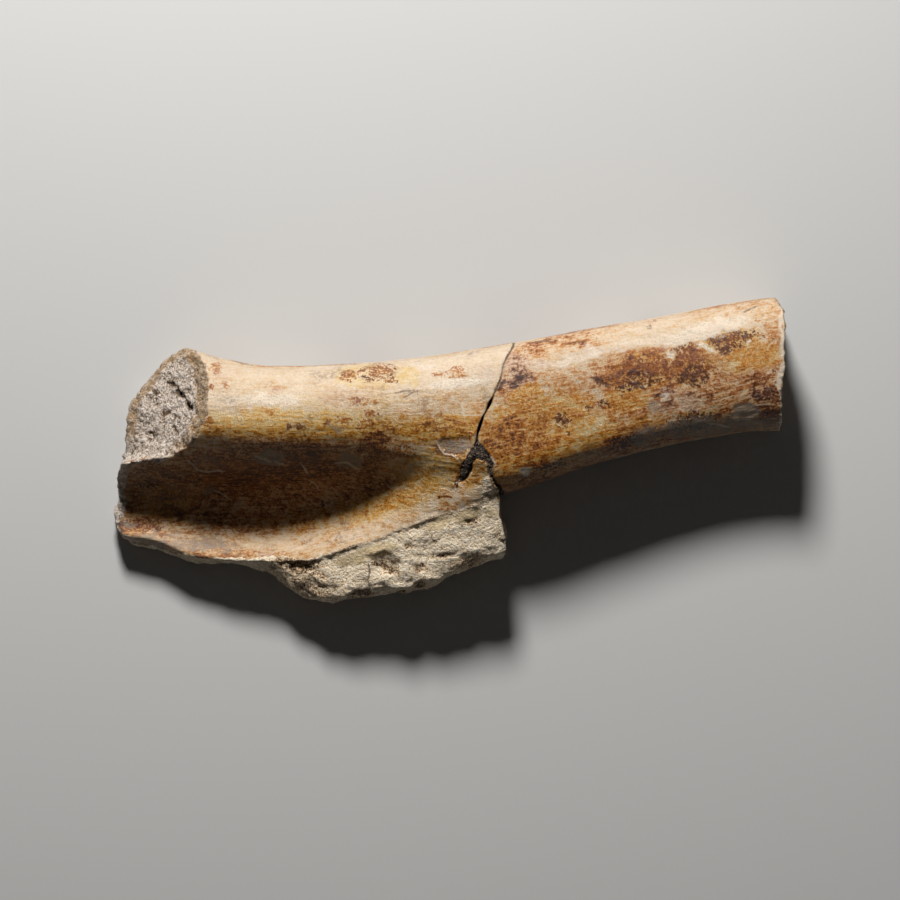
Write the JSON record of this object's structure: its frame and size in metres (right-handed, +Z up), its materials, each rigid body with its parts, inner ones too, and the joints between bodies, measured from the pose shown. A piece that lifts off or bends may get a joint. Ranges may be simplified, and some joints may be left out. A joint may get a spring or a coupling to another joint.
{
  "type": "fossil leg bone section",
  "caption": "Broken length of fossil dinosaur leg bone: a thick round rim and shaft beside a hollowed flange, snapped across and rejoined.",
  "frame": {"origin": "under the middle of the bone's box, on the surface that the bone lies on", "axes": "+X along the bone towards the shaft's end, +Y towards the thick rim, +Z up out of the hollow side"},
  "size_m": [0.2414, 0.1102, 0.038],
  "materials": {
    "flared_end": "fossil bone, cream with brown stains, slightly glossy outside and gritty where broken",
    "shaft": "fossil bone, cream and ochre with dark brown stains, slightly glossy outside",
    "join_grit": "dark gritty filling, matt"
  },
  "bodies": {
    "root": {"flared_end": "flared_end", "shaft": "shaft", "join_grit": "join_grit"}
  },
  "joints": []
}
